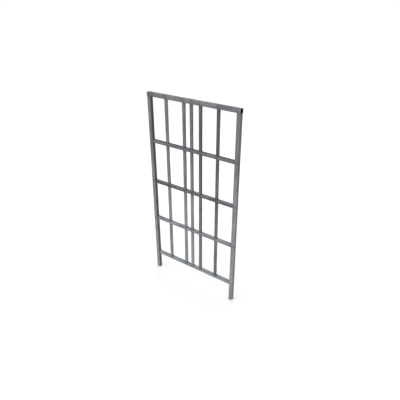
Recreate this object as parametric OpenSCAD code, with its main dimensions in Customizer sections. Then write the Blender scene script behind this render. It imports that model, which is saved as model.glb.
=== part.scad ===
// Garden gate leaf, welded up from square steel tube.
// Seen from the front, +X is to the right, the front faces -Y and +Z is up.
// The origin is on the ground, midway between the two stiles.

/* [Overall] */
// Width over the outer faces of the two stiles
gate_w = 800; // [600:5:1200]
// Height from the ground to the top of the top rail
gate_h = 1590; // [1300:5:2200]

/* [Frame tube] */
// Outside size of the square tube of the stiles and the top rail
frame_tube = 30; // [25:1:50]
// Wall of the frame tube
frame_wall = 1.5; // [1.2:0.1:3]

/* [Rail tube] */
// Outside size of the square tube of the four lower rails
rail_tube = 25; // [20:1:30]
// Wall of the rail tube
rail_wall = 1.5; // [1:0.1:3]

/* [Bar tube] */
// Outside size of the square tube of the upright bars
bar_tube = 20; // [12:1:25]
// Wall of the bar tube
bar_wall = 1.5; // [1:0.1:2.5]

/* [Tube corners] */
// Outer corner radius of every tube, in walls of that tube
corner_walls = 1.2; // [1.2:0.1:2]

/* [Rail heights] */
// Top face of the upper rail above the ground
upper_rail_top = 1226; // [920:1:1500]
// Top face of the middle rail above the ground
middle_rail_top = 881; // [580:1:1180]
// Top face of the lower rail above the ground
lower_rail_top = 536; // [220:1:830]
// Top face of the bottom rail above the ground
bottom_rail_top = 175; // [50:1:490]

/* [Bar places] */
// Middle of bar 1, the leftmost, from the middle of the gate
bar_1_x = -230; // [-350:1:-100]
// Middle of bar 2 from the middle of the gate
bar_2_x = -69; // [-195:1:-32]
// Middle of bar 3 from the middle of the gate
bar_3_x = -3; // [-40:1:45]
// Middle of bar 4 from the middle of the gate
bar_4_x = 76; // [25:1:190]
// Middle of bar 5, the rightmost, from the middle of the gate
bar_5_x = 224; // [105:1:350]

/* [Welds] */
// Leg of every fillet weld
weld_leg = 3; // [1:0.1:5]

/* [End plugs] */
// How far each end of the top rail's tube stops short of the stile's outer face, to leave room for its plug
top_rail_short = 1.5; // [0:0.5:5]
// Thickness of the plug's head, which covers the end of the tube
plug_head = 3.5; // [1:0.1:6]
// How far the plug reaches into the tube
plug_depth = 16; // [8:1:40]
// Wall of the plug's hollow shank
plug_wall = 2; // [1:0.1:3]
// How far the gripping ribs stand out from the shank
rib_height = 0.8; // [0.3:0.1:1.5]
// Thickness of one gripping rib
rib_w = 1.2; // [0.6:0.1:2]
// Number of gripping ribs on one plug
rib_count = 4; // [1:1:6]
// Gap between the ribs and the inside of the tube
plug_clearance = 0.1; // [0.05:0.05:0.4]

/* [Hidden] */
$fn = 32;

// Rails and bars
rail_len = gate_w - 2 * frame_tube;
top_rail_len = gate_w - 2 * top_rail_short;
stile_x = (gate_w - frame_tube) / 2;
top_rail_under = gate_h - frame_tube;
rail_tops = [upper_rail_top, middle_rail_top, lower_rail_top, bottom_rail_top];
bar_xs = [bar_1_x, bar_2_x, bar_3_x, bar_4_x, bar_5_x];

// The rows of bars, from the top down: each bar stands on the rail below its row
// and reaches the underside of the rail above it
row_names = ["top", "upper", "lower", "bottom"];
row_under = [
    top_rail_under,
    upper_rail_top - rail_tube,
    middle_rail_top - rail_tube,
    lower_rail_top - rail_tube
];

// Plugs
plug_bore = frame_tube - 2 * frame_wall;
rib_size = plug_bore - 2 * plug_clearance;
shank_size = rib_size - 2 * rib_height;
rib_pitch = plug_depth / rib_count;

// Colours
steel = [0.56, 0.58, 0.59];
dark_steel = [0.48, 0.50, 0.51];
weld_grey = [0.38, 0.38, 0.38];
black_plastic = [0.06, 0.06, 0.06];

function bar_name(bar, row) = str("bar_", bar + 1, "_", row_names[row]);

// ---------- shared shapes ----------

// A square with true round corners, centred on the origin
module round_square(size, r) {
    square([size, size - 2 * r], center = true);
    square([size - 2 * r, size], center = true);
    for (sx = [-1, 1], sy = [-1, 1])
        translate([sx * (size / 2 - r), sy * (size / 2 - r)]) circle(r);
}

// A length of square tube that stands on the XY plane, open at both ends
module tube(size, wall, len) {
    outer_r = corner_walls * wall;
    linear_extrude(len)
        difference() {
            round_square(size, outer_r);
            round_square(size - 2 * wall, outer_r - wall);
        }
}

// The same tube lying along X, with its middle at the origin
module lying_tube(size, wall, len) {
    translate([-len / 2, 0, 0]) rotate([0, 90, 0]) tube(size, wall, len);
}

// A fillet weld along Y in the corner at x, z; it grows towards dx and dz
module fillet(x, z, dx, dz, len) {
    translate([x, 0, z])
        rotate([90, 0, 0])
            linear_extrude(len, center = true)
                polygon([[0, 0], [dx * weld_leg, 0], [0, dz * weld_leg]]);
}

// Flat part of a tube's side, between its round corners
function flat_w(size, wall) = size - 2 * corner_walls * wall;

// The two fillets of every bar that meets a rail's face at height z;
// side is 1 where the bars stand on the face and -1 where they hang below it
module bar_fillets(z, side) {
    for (x = bar_xs, dx = [-1, 1])
        fillet(x + dx * bar_tube / 2, z, dx, side, flat_w(bar_tube, bar_wall));
}

// The fillets between a rail's face at height z and both stiles
module stile_fillets(z, side, len) {
    for (dx = [-1, 1])
        fillet(-dx * rail_len / 2, z, dx, side, len);
}

// A square plug: the head lies below the XY plane and the shank stands in the tube
module plug() {
    corner_r = corner_walls * frame_wall;
    bore_r = corner_r - frame_wall;
    translate([0, 0, -plug_head])
        linear_extrude(plug_head) round_square(frame_tube, corner_r);
    difference() {
        union() {
            linear_extrude(plug_depth) round_square(shank_size, bore_r);
            for (i = [0:rib_count - 1])
                translate([0, 0, (i + 1) * rib_pitch - rib_w])
                    linear_extrude(rib_w) round_square(rib_size, bore_r);
        }
        translate([0, 0, plug_wall])
            linear_extrude(plug_depth) square(shank_size - 2 * plug_wall, center = true);
    }
}

// ---------- sub-parts ----------

// A stile runs from its foot plug up to the underside of the top rail
module stile(x) {
    color(steel)
        translate([x, 0, plug_head])
            tube(frame_tube, frame_wall, top_rail_under - plug_head);
}

// The top rail lies across both stiles
module top_rail() {
    color(steel)
        translate([0, 0, gate_h - frame_tube / 2])
            lying_tube(frame_tube, frame_wall, top_rail_len);
}

// A lower rail fits between the stiles
module rail(top) {
    color(steel)
        translate([0, 0, top - rail_tube / 2])
            lying_tube(rail_tube, rail_wall, rail_len);
}

// One bar of one row, cut to fit between two rails
module bar(bar, row) {
    color(dark_steel)
        translate([bar_xs[bar], 0, rail_tops[row]])
            tube(bar_tube, bar_wall, row_under[row] - rail_tops[row]);
}

// A plug in the foot of a stile; the underside of its head is the gate's foot
module foot_plug(x) {
    color(black_plastic)
        translate([x, 0, plug_head]) plug();
}

// A plug in an end of the top rail; side is -1 for the left end and 1 for the right
module top_rail_plug(side) {
    color(black_plastic)
        translate([side * top_rail_len / 2, 0, gate_h - frame_tube / 2])
            rotate([0, -side * 90, 0]) plug();
}

// The welds under the top rail: both stiles and the bars of the top row
module top_rail_welds() {
    color(weld_grey) {
        stile_fillets(top_rail_under, -1, flat_w(frame_tube, frame_wall));
        bar_fillets(top_rail_under, -1);
    }
}

// The welds of one lower rail: its two ends, the bars that stand on it and,
// under every rail but the bottom one, the bars that hang from it
module rail_welds(top, bars_below = true) {
    under = top - rail_tube;
    color(weld_grey) {
        stile_fillets(top, 1, flat_w(rail_tube, rail_wall));
        stile_fillets(under, -1, flat_w(rail_tube, rail_wall));
        bar_fillets(top, 1);
        if (bars_below) bar_fillets(under, -1);
    }
}

// ---------- the gate ----------

stile(-stile_x);  // left_stile
stile(stile_x);  // right_stile

top_rail();
rail(upper_rail_top);  // upper_rail
rail(middle_rail_top);  // middle_rail
rail(lower_rail_top);  // lower_rail
rail(bottom_rail_top);  // bottom_rail

for (b = [0:4], r = [0:3])
    bar(b, r);

foot_plug(-stile_x);  // left_foot_plug
foot_plug(stile_x);  // right_foot_plug
top_rail_plug(-1);  // top_rail_left_plug
top_rail_plug(1);  // top_rail_right_plug

top_rail_welds();
rail_welds(upper_rail_top);  // upper_rail_welds
rail_welds(middle_rail_top);  // middle_rail_welds
rail_welds(lower_rail_top);  // lower_rail_welds
rail_welds(bottom_rail_top, false);  // bottom_rail_welds
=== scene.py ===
import math
import random

import bmesh
import bpy
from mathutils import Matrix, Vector


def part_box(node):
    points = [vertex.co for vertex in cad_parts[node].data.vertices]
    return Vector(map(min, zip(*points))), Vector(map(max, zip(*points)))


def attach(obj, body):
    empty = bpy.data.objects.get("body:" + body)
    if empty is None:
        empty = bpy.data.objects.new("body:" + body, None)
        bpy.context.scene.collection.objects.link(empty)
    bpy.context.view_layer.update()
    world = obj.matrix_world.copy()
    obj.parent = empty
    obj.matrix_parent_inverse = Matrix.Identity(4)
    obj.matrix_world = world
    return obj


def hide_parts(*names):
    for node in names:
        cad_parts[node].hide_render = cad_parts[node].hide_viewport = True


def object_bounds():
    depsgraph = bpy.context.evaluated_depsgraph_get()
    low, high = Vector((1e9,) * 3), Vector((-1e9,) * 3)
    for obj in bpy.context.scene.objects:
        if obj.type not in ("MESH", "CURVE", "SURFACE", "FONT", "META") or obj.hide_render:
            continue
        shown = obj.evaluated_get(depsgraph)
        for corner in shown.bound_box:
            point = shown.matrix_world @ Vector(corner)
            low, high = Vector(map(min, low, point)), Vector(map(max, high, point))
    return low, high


# Looks of the garden gate: galvanised steel tube, rippled weld beads and black plastic end plugs.
# Lengths are in metres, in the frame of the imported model: +X right, the front faces -Y, +Z up.

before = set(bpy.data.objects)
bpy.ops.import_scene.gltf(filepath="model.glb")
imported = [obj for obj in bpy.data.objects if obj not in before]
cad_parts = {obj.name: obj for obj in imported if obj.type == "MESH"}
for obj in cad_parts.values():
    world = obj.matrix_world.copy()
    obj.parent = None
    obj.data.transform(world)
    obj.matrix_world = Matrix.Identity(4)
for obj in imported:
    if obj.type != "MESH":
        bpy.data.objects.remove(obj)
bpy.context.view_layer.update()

MM = 0.001

# ---------- places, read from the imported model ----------

STILES = ["left_stile", "right_stile"]
RAILS = ["upper_rail", "middle_rail", "lower_rail", "bottom_rail"]
ALL_RAILS = ["top_rail"] + RAILS
ROWS = ["top", "upper", "lower", "bottom"]
BARS = range(1, 6)


def middle(node):
    """Middle of a node's box."""
    low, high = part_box(node)
    return (low + high) / 2


def bar_name(bar, row):
    """Node of one length of a bar."""
    return f"bar_{bar}_{row}"


BAR_X = [middle(bar_name(bar, "top")).x for bar in BARS]
BAR_HALF = (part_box("bar_1_top")[1].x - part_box("bar_1_top")[0].x) / 2
STILE_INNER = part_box("right_stile")[0].x
GATE_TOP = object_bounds()[1].z

# ---------- shader building ----------


class Shader:
    """A material whose nodes are added one call at a time."""

    def __init__(self, name):
        self.material = bpy.data.materials.new(name)
        self.material.use_nodes = True
        self.tree = self.material.node_tree
        self.tree.nodes.clear()
        self.place = self.add("ShaderNodeTexCoord").outputs["Object"]

    def add(self, kind, settings=None, inputs=None):
        """A node; an input is a number, a colour or the socket to link it to."""
        node = self.tree.nodes.new(kind)
        for key, value in (settings or {}).items():
            setattr(node, key, value)
        for key, value in (inputs or {}).items():
            if isinstance(value, bpy.types.NodeSocket):
                self.tree.links.new(value, node.inputs[key])
            else:
                node.inputs[key].default_value = value
        return node

    def math(self, operation, a, b=0.0):
        return self.add("ShaderNodeMath", {"operation": operation}, {0: a, 1: b}).outputs[0]

    def weighted(self, *parts):
        """The sum of some values, each times its share; a part is a value and its share."""
        value, share = parts[0]
        total = self.math("MULTIPLY", value, share)
        for value, share in parts[1:]:
            total = self.math("ADD", total, self.math("MULTIPLY", value, share))
        return total

    def split(self, vector):
        """The X, Y and Z sockets of a vector."""
        return self.add("ShaderNodeSeparateXYZ", None, {0: vector}).outputs

    def stretched(self, scale, shift):
        """The place on the object, stretched and shifted, so that no two tubes look alike."""
        return self.add("ShaderNodeMapping", None,
                        {"Vector": self.place, "Scale": scale, "Location": shift}).outputs[0]

    def noise(self, vector, scale, detail=4.0, roughness=0.55, distortion=0.0):
        return self.add("ShaderNodeTexNoise", None,
                        {"Vector": vector, "Scale": scale, "Detail": detail, "Roughness": roughness,
                         "Distortion": distortion}).outputs["Fac"]

    def remap(self, value, low, high, to_low=0.0, to_high=1.0):
        """value, taken from the range low to high to the range to_low to to_high, with soft ends."""
        return self.add("ShaderNodeMapRange", {"interpolation_type": "SMOOTHSTEP"},
                        {0: value, 1: low, 2: high, 3: to_low, 4: to_high}).outputs[0]

    def mix(self, amount, a, b):
        """Colour a where amount is 0 and colour b where it is 1."""
        node = self.add("ShaderNodeMix", {"data_type": "RGBA"}, {"Factor": amount})
        for key, value in ((6, a), (7, b)):
            if isinstance(value, bpy.types.NodeSocket):
                self.tree.links.new(value, node.inputs[key])
            else:
                node.inputs[key].default_value = (*value, 1.0)
        return node.outputs[2]

    def times(self, colour, other):
        """A colour times another colour."""
        return self.add("ShaderNodeVectorMath", {"operation": "MULTIPLY"}, {0: colour, 1: other}).outputs[0]

    def scaled(self, colour, factor):
        """A colour times a number."""
        grey = self.add("ShaderNodeCombineXYZ", None, {0: factor, 1: factor, 2: factor}).outputs[0]
        return self.times(colour, grey)

    def finish(self, colour, roughness, metallic, height=None, relief=0.0, **constants):
        """The finished material, with bumps as deep as relief where a height is given."""
        inputs = {"Base Color": colour, "Roughness": roughness, "Metallic": metallic, **constants}
        shader = self.add("ShaderNodeBsdfPrincipled", None, inputs)
        if height is not None:
            bump = self.add("ShaderNodeBump", None, {"Height": height, "Distance": relief, "Strength": 1.0})
            self.tree.links.new(bump.outputs[0], shader.inputs["Normal"])
        output = self.add("ShaderNodeOutputMaterial")
        self.tree.links.new(shader.outputs[0], output.inputs["Surface"])
        return self.material


# ---------- materials ----------

ZINC_DARK = (0.116, 0.121, 0.130)
ZINC_LIGHT = (0.246, 0.256, 0.274)
ZINC_METALLIC = 0.6
ZINC_RELIEF = 0.10 * MM

# Passivation tints
COOL = (0.965, 1.000, 1.040)
WARM = (1.035, 1.005, 0.950)

# Painted bounce light: the zinc is made lighter near the ground than at the top of the gate, as light from
# the floor would make it. Its tone runs from the low to the high one between two heights, which are shares
# of the gate's own
LOW_SHARE = 0.15
HIGH_SHARE = 0.95
BOUNCE_TONE_LOW = 1.26
BOUNCE_TONE_HIGH = 0.78

# Scorched zinc near a weld, which also serves as painted shade where the tubes meet, is at its strongest up
# to the near distance from a weld and gone at the far one, and its edge wanders by up to half the ragged
# distance either way
SCORCH_AND_SHADE = (0.070, 0.066, 0.060)
SCORCH_AND_SHADE_STRENGTH = 0.24
SCORCH_AND_SHADE_NEAR = 6 * MM
SCORCH_AND_SHADE_FAR = 20 * MM
SCORCH_AND_SHADE_RAGGED = 16 * MM

# Weathered zinc doesn't flash white at a glancing angle as polished metal does
DULL_EDGES = {"Specular Tint": (0.60, 0.60, 0.60, 1.0), "Specular IOR Level": 0.25}

WELD_DARK = (0.075, 0.068, 0.060)
WELD_LIGHT = (0.150, 0.155, 0.162)
WELD_SPECK = (0.22, 0.22, 0.215)
WELD_RELIEF = 0.15 * MM

PLASTIC = (0.0015, 0.0015, 0.0015)
PLASTIC_DUST = (0.008, 0.0077, 0.0073)
PLASTIC_GLOSS = {"Specular IOR Level": 0.03}
PLASTIC_RELIEF = 0.04 * MM


def zinc_patterns(s, lengthwise, seed):
    """The patterns in one tube's zinc; blotches, clouds and draw lines run along it, the others don't."""
    rng = random.Random(seed)
    shift = [rng.uniform(-20, 20) for _ in range(3)]
    plain = [1.0, 1.0, 1.0]
    along = list(plain)
    along[lengthwise] = 0.30
    drawn = list(plain)
    drawn[lengthwise] = 0.03
    spangle = s.add("ShaderNodeTexVoronoi", None, {"Vector": s.stretched(plain, shift), "Scale": 150.0})
    return {
        "blotch": s.noise(s.stretched(along, shift), scale=26.0, detail=5.0, roughness=0.60,
                          distortion=0.4),
        "cloud": s.noise(s.stretched(along, shift[::-1]), scale=7.0, detail=2.0, roughness=0.5),
        "streak": s.noise(s.stretched(drawn, shift), scale=420.0, detail=3.0, roughness=0.6),
        "tint": s.noise(s.stretched(plain, shift), scale=11.0, detail=2.0, roughness=0.5),
        "grain": s.noise(s.place, scale=1800.0, detail=2.0, roughness=0.5),
        "crystal": s.split(spangle.outputs["Color"])[0],
    }


def bare_zinc(s, pattern):
    """Colour of the zinc by itself: light and dark patches, tinted cool here and warm there."""
    tone = s.weighted((pattern["blotch"], 0.95), (pattern["cloud"], 0.45),
                      (pattern["crystal"], 0.14), (pattern["streak"], 0.22))
    colour = s.mix(s.remap(tone, 0.45, 1.30), ZINC_DARK, ZINC_LIGHT)
    tint = s.mix(s.remap(pattern["tint"], 0.38, 0.66), COOL, WARM)
    return s.times(colour, tint)


def with_painted_shade(s, colour, front, side):
    """The colour with painted shade: each face toned for how light falls on it, and lighter towards the
    ground as light from the floor would make it.
    """
    normal = s.split(s.add("ShaderNodeNewGeometry").outputs["Normal"])
    faces_y = s.math("ABSOLUTE", normal[1])
    # painted shade: the front and back faces get one tone and the other faces another, for how light falls
    # on them
    face_shade = s.remap(faces_y, 0.25, 0.75, side, front)
    # painted bounce light: lighter towards the ground, darker towards the top
    height = s.split(s.place)[2]
    painted_bounce = s.remap(height, LOW_SHARE * GATE_TOP, HIGH_SHARE * GATE_TOP, BOUNCE_TONE_LOW, BOUNCE_TONE_HIGH)
    return s.scaled(colour, s.math("MULTIPLY", face_shade, painted_bounce))


def scorch_and_joint_shade(s, blotch, lengthwise, joints):
    """How scorched the zinc is, with painted shade at the joints, by its distance from the nearest weld."""
    at = s.split(s.place)[lengthwise]
    near = None
    for joint in joints:
        gap = s.math("ABSOLUTE", s.math("SUBTRACT", at, joint))
        near = gap if near is None else s.math("MINIMUM", near, gap)
    ragged = s.math("ADD", near, s.math("MULTIPLY", s.math("SUBTRACT", blotch, 0.5), SCORCH_AND_SHADE_RAGGED))
    return s.remap(ragged, SCORCH_AND_SHADE_NEAR, SCORCH_AND_SHADE_FAR, SCORCH_AND_SHADE_STRENGTH, 0.0)


def galvanised(name, lengthwise, joints, front, side, seed):
    """Galvanised tube: blotches, spangle, draw lines along the tube, and scorched zinc with painted shade
    near its joints.

    lengthwise is 0 for a tube along X and 2 for one along Z, and joints are the places of its welds on
    that axis. front and side are the tones of the front and back faces and of the two other ones: the
    tube's own tone, with painted shade for how light falls on each face.
    """
    s = Shader(name)
    pattern = zinc_patterns(s, lengthwise, seed)
    colour = with_painted_shade(s, bare_zinc(s, pattern), front, side)
    scorch_and_shade = scorch_and_joint_shade(s, pattern["blotch"], lengthwise, joints)
    # darker near the welds: scorched zinc and painted shade where the tubes meet
    colour = s.mix(scorch_and_shade, colour, SCORCH_AND_SHADE)
    dull = s.remap(pattern["blotch"], 0.3, 0.7, 0.56, 0.42)
    roughness = s.math("ADD", s.math("MULTIPLY", pattern["crystal"], 0.14), dull)
    roughness = s.math("ADD", roughness, s.math("MULTIPLY", scorch_and_shade, 0.3))
    height = s.weighted((pattern["streak"], 0.5), (pattern["crystal"], 0.25), (pattern["grain"], 0.25))
    return s.finish(colour, roughness, ZINC_METALLIC, height, ZINC_RELIEF, **DULL_EDGES)


def weld_metal():
    """Rough bead: patches of brown and of grey oxide, with paler specks."""
    s = Shader("weld_metal")
    patch = s.noise(s.place, scale=160.0, detail=3.0)
    fine = s.noise(s.place, scale=1500.0, detail=4.0, roughness=0.65)
    colour = s.mix(s.remap(patch, 0.38, 0.62), WELD_DARK, WELD_LIGHT)
    colour = s.mix(s.remap(fine, 0.55, 0.75, 0.0, 0.5), colour, WELD_SPECK)
    roughness = s.remap(fine, 0.3, 0.7, 0.42, 0.72)
    return s.finish(colour, roughness, ZINC_METALLIC, fine, WELD_RELIEF, **DULL_EDGES)


def black_plastic():
    """Matt black polyethylene with a fine moulded grain, a little dusty in places."""
    s = Shader("black_plastic")
    grain = s.noise(s.place, scale=2600.0, detail=3.0, roughness=0.6)
    dust = s.noise(s.place, scale=90.0, detail=4.0, roughness=0.6)
    colour = s.mix(s.remap(dust, 0.5, 0.75, 0.0, 0.35), PLASTIC, PLASTIC_DUST)
    roughness = s.remap(grain, 0.3, 0.7, 0.50, 0.65)
    return s.finish(colour, roughness, 0.0, grain, PLASTIC_RELIEF, **PLASTIC_GLOSS)


# Tones of the front and side faces of each upright and rail: each tube's own tone, with painted shade for
# how light falls on its front and its side faces
TUBE_TONE_AND_FACE_SHADE = {
    "left_stile": (1.04, 0.39),
    "right_stile": (1.11, 0.80),
    "bar_1": (1.08, 1.15),
    "bar_2": (1.05, 1.08),
    "bar_3": (1.06, 1.10),
    "bar_4": (0.72, 0.57),
    "bar_5": (0.65, 0.88),
    "top_rail": (1.18, 1.0),
    "upper_rail": (1.0, 0.51),
    "middle_rail": (0.62, 0.80),
    "lower_rail": (1.08, 0.94),
    "bottom_rail": (1.08, 0.97),
}
FIRST_TUBE_SEED = 100


def paint(node, material):
    """Gives a carried-over CAD node its material."""
    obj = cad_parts[node]
    if not obj.material_slots:
        obj.data.materials.append(material)
    for slot in obj.material_slots:
        slot.material = material


def paint_tubes():
    """Gives every tube its own zinc, in the order of its seed."""
    tubes = [(stile, stile, 2, [middle(rail).z for rail in RAILS] + [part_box("top_rail")[0].z])
             for stile in STILES]
    tubes += [(rail, rail, 0, BAR_X + [-STILE_INNER, STILE_INNER]) for rail in ALL_RAILS]
    for bar in BARS:
        for row in ROWS:
            low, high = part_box(bar_name(bar, row))
            tubes.append((bar_name(bar, row), f"bar_{bar}", 2, [low.z, high.z]))
    for seed, (node, tones, lengthwise, joints) in enumerate(tubes, FIRST_TUBE_SEED):
        front, side = TUBE_TONE_AND_FACE_SHADE[tones]
        paint(node, galvanised(f"zinc_{node}", lengthwise, joints, front, side, seed))


# ---------- meshes ----------


def skin(mesh, rings):
    """Joins each ring of points to the next one with faces."""
    for a, b in zip(rings, rings[1:]):
        for k in range(len(a)):
            n = (k + 1) % len(a)
            mesh.faces.new((a[k], a[n], b[n], b[k]))


def linked(name, data):
    """An object that shows the data, in the scene."""
    obj = bpy.data.objects.new(name, data)
    bpy.context.scene.collection.objects.link(obj)
    return obj


def solid(name, mesh, material):
    """A smoothly shaded object from a closed bmesh, which it uses up."""
    bmesh.ops.recalc_face_normals(mesh, faces=mesh.faces)
    data = bpy.data.meshes.new(name)
    mesh.to_mesh(data)
    mesh.free()
    data.materials.append(material)
    data.shade_smooth()
    return linked(name, data)


# ---------- weld beads ----------

WELD_LEG = 3.0 * MM
BAR_BEAD_SHARE = 0.82
STILE_BEAD_SHARE = 0.85
FIRST_BEAD_SEED = 40

# A bead is a row of rings. Each has one point sunk a little into the corner and the rest on an arc
RING_PITCH = 0.45 * MM
LEAST_RINGS = 12
ARC_STEPS = 6
ROOT_SINK = 0.1 * MM
HOLLOW = 0.13

# Ripples left by the torch, which bow along the bead in the middle of the arc
RIPPLE = 2.1 * MM
RIPPLE_HEIGHT = 0.10
RIPPLE_BOW = 0.35 * MM

# The ends taper off, and the leg wanders slowly along the bead and jitters from ring to ring
TAPER = 3.2
BLUNT_END = 0.25
WANDER = 0.07
WANDER_TURN = 9.0
WANDER_START = 6.3
JITTER = 0.015


def bead_ring(mesh, x, y, z, dx, dz, leg, crest):
    """One ring of a bead; leg is its size, and crest is the ripple's factor between its two edges."""
    ring = [mesh.verts.new((x - dx * ROOT_SINK, y, z - dz * ROOT_SINK))]
    for k in range(ARC_STEPS + 1):
        turn = math.pi / 2 * k / ARC_STEPS
        bulge = 1.0 - HOLLOW * math.sin(2 * turn)
        r = leg * bulge * (crest if 0 < k < ARC_STEPS else 1.0)
        bow = RIPPLE_BOW * math.sin(2 * turn)
        ring.append(mesh.verts.new((x + dx * r * math.cos(turn), y + bow, z + dz * r * math.sin(turn))))
    return ring


def bead(mesh, x, z, dx, dz, length, rng):
    """One rippled fillet bead along Y in the corner at x, z, growing towards dx and dz."""
    steps = max(LEAST_RINGS, round(length / RING_PITCH))
    phase = rng.uniform(0, RIPPLE)
    sway = rng.uniform(0, WANDER_START)
    rings = []
    for i in range(steps + 1):
        t = i / steps
        y = (t - 0.5) * length
        end = min(1.0, math.sin(math.pi * t) * TAPER + BLUNT_END)
        ripple = ((y + length + phase) / RIPPLE) % 1.0
        crest = 1.0 + RIPPLE_HEIGHT * (1.0 - ripple) ** 2 - RIPPLE_HEIGHT / 2
        wander = 1.0 + WANDER * math.sin(sway + t * WANDER_TURN) + rng.uniform(-JITTER, JITTER)
        rings.append(bead_ring(mesh, x, y, z, dx, dz, WELD_LEG * end * wander, crest))
    skin(mesh, rings)
    mesh.faces.new(rings[0])
    mesh.faces.new(rings[-1][::-1])


def bead_object(name, beads, material, seed):
    """One object with all the beads of a rail; beads is a list of x, z, dx, dz and length."""
    rng = random.Random(seed)
    mesh = bmesh.new()
    for x, z, dx, dz, length in beads:
        bead(mesh, x, z, dx, dz, length, rng)
    return solid(name, mesh, material)


def bars_at(z, dz):
    """The two beads of every bar where it meets a rail's face at height z."""
    length = 2 * BAR_HALF * BAR_BEAD_SHARE
    return [(x + dx * BAR_HALF, z, dx, dz, length) for x in BAR_X for dx in (-1, 1)]


def stiles_at(z, dz, rail):
    """The beads of a rail's face at height z, at both stiles."""
    low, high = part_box(rail)
    length = (high.y - low.y) * STILE_BEAD_SHARE
    return [(-dx * STILE_INNER, z, dx, dz, length) for dx in (-1, 1)]


def make_welds():
    """All the beads, as one object for each rail."""
    material = weld_metal()
    for i, rail in enumerate(ALL_RAILS):
        low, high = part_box(rail)
        beads = stiles_at(low.z, -1, rail)
        if rail != "bottom_rail":
            beads += bars_at(low.z, -1)
        if rail != "top_rail":
            beads += stiles_at(high.z, 1, rail) + bars_at(high.z, 1)
        obj = bead_object(f"{rail}_beads", beads, material, FIRST_BEAD_SEED + i)
        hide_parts(f"{rail}_welds")
        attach(obj, "root")


# ---------- end plugs ----------

TUBE_WALL = 1.5 * MM
CORNER_STEPS = 6

# Crown of the head, from its middle outwards: share of the half width and share of the head's thickness
CROWN = ((0.30, 1.0), (0.90, 0.98), (0.965, 0.90), (0.99, 0.75), (1.0, 0.45))
HEAD_CORNER = 1.8 * MM

# The shank stands clear of the bore, and its ribs all but fill it
SHANK_CLEAR = 0.9 * MM
SHANK_CORNER = 1.0 * MM
SHANK_WALL = 2.0 * MM
SHANK_FLOOR = 2.0 * MM
HOLLOW_CORNER = 0.8 * MM
RIBS = 4

# Outline of a rib: distance back from its inner end and distance in from the bore
RIB = ((1.6 * MM, SHANK_CLEAR), (0.7 * MM, 0.1 * MM), (0.3 * MM, 0.25 * MM), (0.0, SHANK_CLEAR))

SHARP_FROM = math.radians(40)


def square_ring(mesh, half, radius, height, to_world):
    """A ring of points round a square with round corners; height is along the plug's axis."""
    ring = []
    for quarter, (sx, sy) in enumerate(((1, 1), (-1, 1), (-1, -1), (1, -1))):
        for k in range(CORNER_STEPS + 1):
            turn = math.pi / 2 * (quarter + k / CORNER_STEPS)
            u = sx * (half - radius) + radius * math.cos(turn)
            v = sy * (half - radius) + radius * math.sin(turn)
            ring.append(mesh.verts.new(to_world(u, v, height)))
    return ring


def plug_outline(half, head, depth):
    """Half width, corner radius and height of each ring of a plug, from the head's crown to the hollow."""
    bore = half - TUBE_WALL
    shank = bore - SHANK_CLEAR
    hollow = shank - SHANK_WALL
    outline = [(half * share, HEAD_CORNER * share, -head * rise) for share, rise in CROWN]
    outline.append((half, HEAD_CORNER, 0.0))
    outline.append((shank, SHANK_CORNER, 0.0))
    for i in range(RIBS):
        inner_end = (i + 1) * (depth / RIBS)
        outline += [(bore - gap, SHANK_CORNER, inner_end - back) for back, gap in RIB]
    outline.append((hollow, HOLLOW_CORNER, depth))
    outline.append((hollow, HOLLOW_CORNER, SHANK_FLOOR))
    return outline


def plug_object(name, to_world, half, head, depth, material):
    """A square plug: a softly crowned head outside the tube, a hollow shank with ribs inside it.

    to_world turns a point across the plug and along its axis, which points into the tube, into a place.
    """
    mesh = bmesh.new()
    rings = [square_ring(mesh, *ring, to_world) for ring in plug_outline(half, head, depth)]
    skin(mesh, rings)
    mesh.faces.new(rings[0][::-1])
    mesh.faces.new(rings[-1])
    obj = solid(name, mesh, material)
    obj.data.set_sharp_from_angle(angle=SHARP_FROM)
    return obj


def make_plugs():
    """A plug in each foot and one in each end of the top rail."""
    material = black_plastic()
    for side, word in ((-1, "left"), (1, "right")):
        node = f"{word}_foot_plug"
        low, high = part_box(node)
        half = (high.x - low.x) / 2
        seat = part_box(f"{word}_stile")[0].z
        cx = middle(node).x
        foot = plug_object(f"{node}_moulding", lambda u, v, h: (cx + u, v, seat + h),
                           half, seat - low.z, high.z - seat, material)
        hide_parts(node)
        node = f"top_rail_{word}_plug"
        low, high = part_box(node)
        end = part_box("top_rail")[1].x
        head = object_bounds()[1].x - end
        cz = middle(node).z
        cap = plug_object(f"{node}_moulding", lambda u, v, h: (side * (end - h), u, cz + v),
                          half, head, (high.x - low.x) - head, material)
        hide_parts(node)
        for obj in (foot, cap):
            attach(obj, "root")


# ---------- stage, light and camera ----------

FLOOR_RADIUS = 150.0
FLOOR_SIDES = 96
FLOOR_DIM = (0.93, 0.93, 0.93)
FLOOR_BRIGHT = (0.95, 0.95, 0.95)

TENT_STRENGTH = 1.07

# Place, aim, size and power of each lamp
LAMPS = {
    "key": ((-3.0, -4.0, 3.2), (0, 0, 0.8), 3.0, 50),
    "gleam": ((-2.4, 3.4, 3.0), (0, 0, 1.0), 2.4, 25),
}

# The view: the gate's middle seen from the front right and above
CAMERA_AZIMUTH = math.radians(35.54)
CAMERA_ELEVATION = math.radians(28.38)
CAMERA_DISTANCE = 3.078
CAMERA_TARGET = Vector((0.071, 0.0, 0.826))
CAMERA_LENS = 36.0
CAMERA_SENSOR = 36.0
CAMERA_REACH = 1000.0


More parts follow.
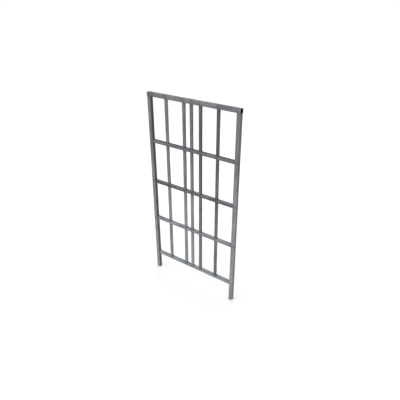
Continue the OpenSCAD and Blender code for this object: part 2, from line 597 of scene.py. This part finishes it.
def make_floor():
    """A disc so wide that its rim lies beyond the camera's view."""
    mesh = bmesh.new()
    bmesh.ops.create_circle(mesh, cap_ends=True, segments=FLOOR_SIDES, radius=FLOOR_RADIUS)
    data = bpy.data.meshes.new("floor")
    mesh.to_mesh(data)
    mesh.free()
    s = Shader("floor_paper")
    speckle = s.noise(s.place, scale=3.0, detail=3.0)
    data.materials.append(s.finish(s.mix(speckle, FLOOR_DIM, FLOOR_BRIGHT), 0.9, 0.0))
    floor = linked("floor", data)


def area_light(name, place, target, size, power):
    """A round lamp that the camera doesn't see."""
    light = bpy.data.lights.new(name, "AREA")
    light.shape = "DISK"
    light.size = size
    light.energy = power
    obj = linked(name, light)
    obj.location = place
    obj.rotation_mode = "QUATERNION"
    obj.rotation_quaternion = (Vector(target) - Vector(place)).to_track_quat("-Z", "Y")
    obj.visible_camera = False


def make_light():
    """A white tent with a soft lamp at the front left and a weaker one at the back left."""
    world = bpy.data.worlds.new("studio")
    world.use_nodes = True
    background = world.node_tree.nodes["Background"]
    background.inputs["Color"].default_value = (1.0, 1.0, 1.0, 1.0)
    background.inputs["Strength"].default_value = TENT_STRENGTH
    bpy.context.scene.world = world
    for name, (place, target, size, power) in LAMPS.items():
        area_light(name, place, target, size, power)


def make_camera():
    """The camera, on the line from its target at the view's azimuth and elevation."""
    data = bpy.data.cameras.new("camera")
    data.lens = CAMERA_LENS
    data.sensor_width = CAMERA_SENSOR
    data.clip_end = CAMERA_REACH
    camera = linked("camera", data)
    back = Vector((math.sin(CAMERA_AZIMUTH) * math.cos(CAMERA_ELEVATION),
                   -math.cos(CAMERA_AZIMUTH) * math.cos(CAMERA_ELEVATION),
                   math.sin(CAMERA_ELEVATION)))
    camera.location = CAMERA_TARGET + back * CAMERA_DISTANCE
    camera.rotation_mode = "QUATERNION"
    camera.rotation_quaternion = (-back).to_track_quat("-Z", "Y")
    bpy.context.scene.camera = camera


paint_tubes()
make_welds()
make_plugs()
make_floor()
make_light()
make_camera()
bpy.context.scene.view_settings.view_transform = "Standard"
